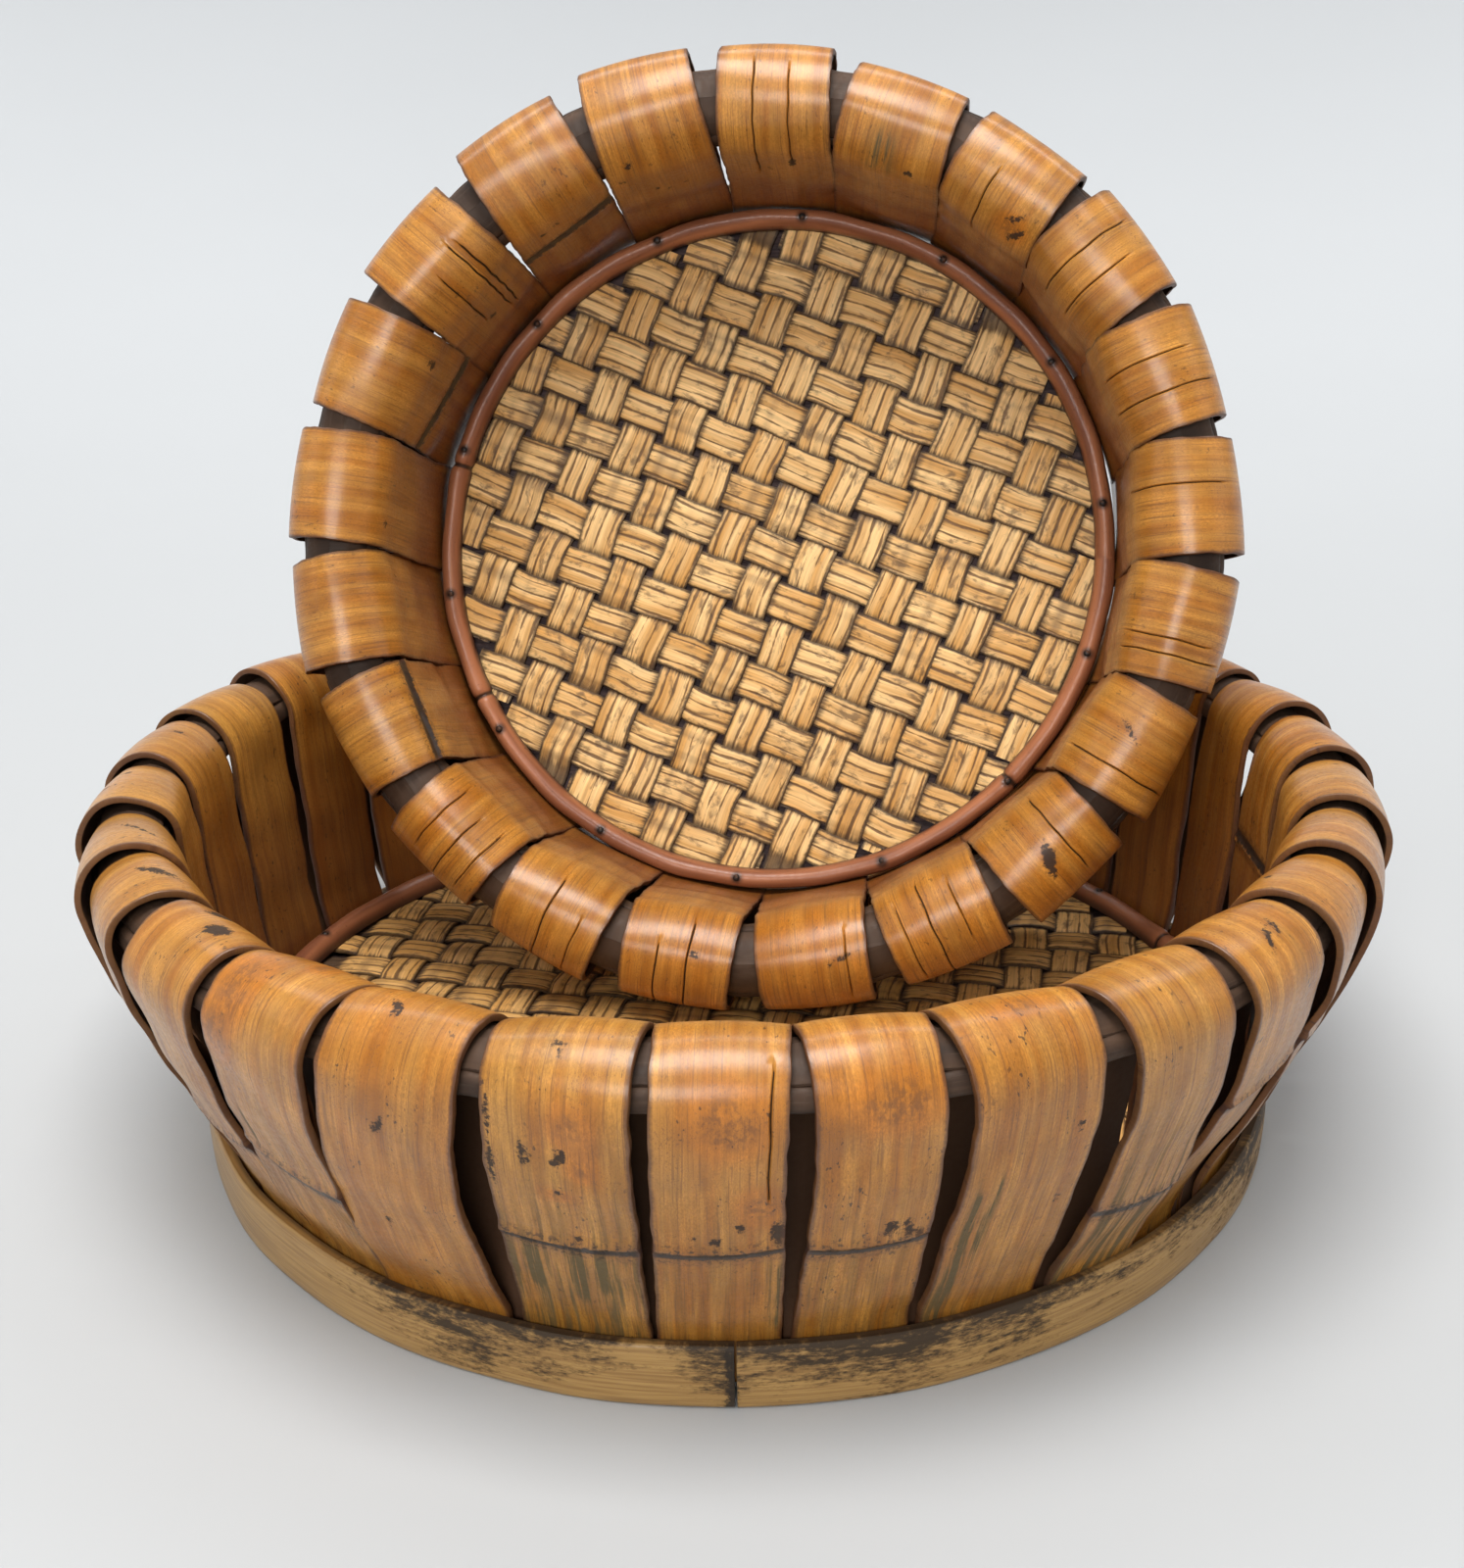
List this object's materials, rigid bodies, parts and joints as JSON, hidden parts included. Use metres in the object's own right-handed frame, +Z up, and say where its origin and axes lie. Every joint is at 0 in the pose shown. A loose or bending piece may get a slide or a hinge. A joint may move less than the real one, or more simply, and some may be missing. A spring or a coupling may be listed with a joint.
{
  "type": "nested bamboo basket pair",
  "caption": "Two round baskets of broad bamboo slats rolled over the rim, with woven bamboo bases and foot rings, the smaller standing on its side inside the larger.",
  "frame": {"origin": "on the floor at the middle of the large basket's foot ring", "axes": "+Z up; the open side of the leaning small basket faces -Y, the front"},
  "size_m": [0.3125, 0.3128, 0.2497],
  "materials": {
    "bamboo_slat": "honey-coloured bamboo with a worn, fairly glossy lacquer, dark nodes and specks",
    "bamboo_ring": "olive-tan bamboo strip, satin, with black-brown mottling",
    "splint": "straw-coloured flat splints with dark lengthwise grooves, satin",
    "board": "dark stained backing board, matte",
    "hoop": "dark aged bamboo, matte",
    "cane": "reddish-brown cane, satin",
    "tack": "blackened iron"
  },
  "bodies": {
    "large_basket": {"large_foot_ring": "bamboo_ring", "large_rim_hoop": "hoop", "large_base_board": "board", "large_mat_warp": "splint", "large_mat_weft": "splint", "large_cane": "cane", "large_tacks": "tack", "large_slat_01": "bamboo_slat", "large_slat_02": "bamboo_slat", "large_slat_03": "bamboo_slat", "large_slat_04": "bamboo_slat", "large_slat_05": "bamboo_slat", "large_slat_06": "bamboo_slat", "large_slat_07": "bamboo_slat", "large_slat_08": "bamboo_slat", "large_slat_09": "bamboo_slat", "large_slat_10": "bamboo_slat", "large_slat_11": "bamboo_slat", "large_slat_12": "bamboo_slat", "large_slat_13": "bamboo_slat", "large_slat_14": "bamboo_slat", "large_slat_15": "bamboo_slat", "large_slat_16": "bamboo_slat", "large_slat_17": "bamboo_slat", "large_slat_18": "bamboo_slat", "large_slat_19": "bamboo_slat", "large_slat_20": "bamboo_slat", "large_slat_21": "bamboo_slat", "large_back_slats_1": "bamboo_slat", "large_back_slats_2": "bamboo_slat", "large_back_slats_3": "bamboo_slat"},
    "small_basket": {"small_foot_ring": "bamboo_ring", "small_rim_hoop": "hoop", "small_base_board": "board", "small_mat_warp": "splint", "small_mat_weft": "splint", "small_cane": "cane", "small_tacks": "tack", "small_slat_01": "bamboo_slat", "small_slat_02": "bamboo_slat", "small_slat_03": "bamboo_slat", "small_slat_04": "bamboo_slat", "small_slat_05": "bamboo_slat", "small_slat_06": "bamboo_slat", "small_slat_07": "bamboo_slat", "small_slat_08": "bamboo_slat", "small_slat_09": "bamboo_slat", "small_slat_10": "bamboo_slat", "small_slat_11": "bamboo_slat", "small_slat_12": "bamboo_slat", "small_slat_13": "bamboo_slat", "small_slat_14": "bamboo_slat", "small_slat_15": "bamboo_slat", "small_slat_16": "bamboo_slat", "small_slat_17": "bamboo_slat", "small_slat_18": "bamboo_slat", "small_slat_19": "bamboo_slat", "small_slat_20": "bamboo_slat", "small_slat_21": "bamboo_slat"}
  },
  "joints": [
    {"name": "small_basket_lift", "type": "slide", "parent": "large_basket", "child": "small_basket", "axis": [0, 0, 1], "range_m": [0, 0.2]}
  ]
}
